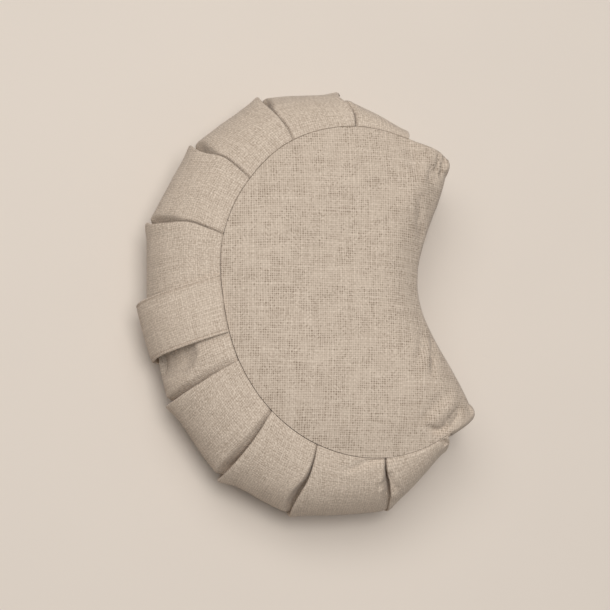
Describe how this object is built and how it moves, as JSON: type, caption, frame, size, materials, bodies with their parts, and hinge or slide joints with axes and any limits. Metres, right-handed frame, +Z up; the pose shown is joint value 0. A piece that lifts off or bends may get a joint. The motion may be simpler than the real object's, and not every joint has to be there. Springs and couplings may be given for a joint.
{
  "type": "zafu meditation cushion",
  "caption": "Crescent zafu of natural slubby linen, hull filled, with a pleated side band round the back, a plain front band in the bay and a carry strap.",
  "frame": {"origin": "on the floor under the cushion, at the centre of the round back seam, on the base panel's flat face", "axes": "+Z up as the cushion lies on its base, +X from tip to tip, +Y towards the pleated back and the carry strap, so the bay between the tips faces -Y"},
  "size_m": [0.4319, 0.3294, 0.128],
  "materials": {
    "linen_panel": "open, slubby plain-weave natural linen, matt",
    "linen_band": "open, slubby plain-weave natural linen, pleated, matt",
    "linen_strap": "folded and top-stitched natural linen, matt"
  },
  "bodies": {
    "root": {"pleated_body": "linen_band", "top_panel": "linen_panel", "base_panel": "linen_panel", "front_band": "linen_band", "carry_strap": "linen_strap"}
  },
  "joints": []
}
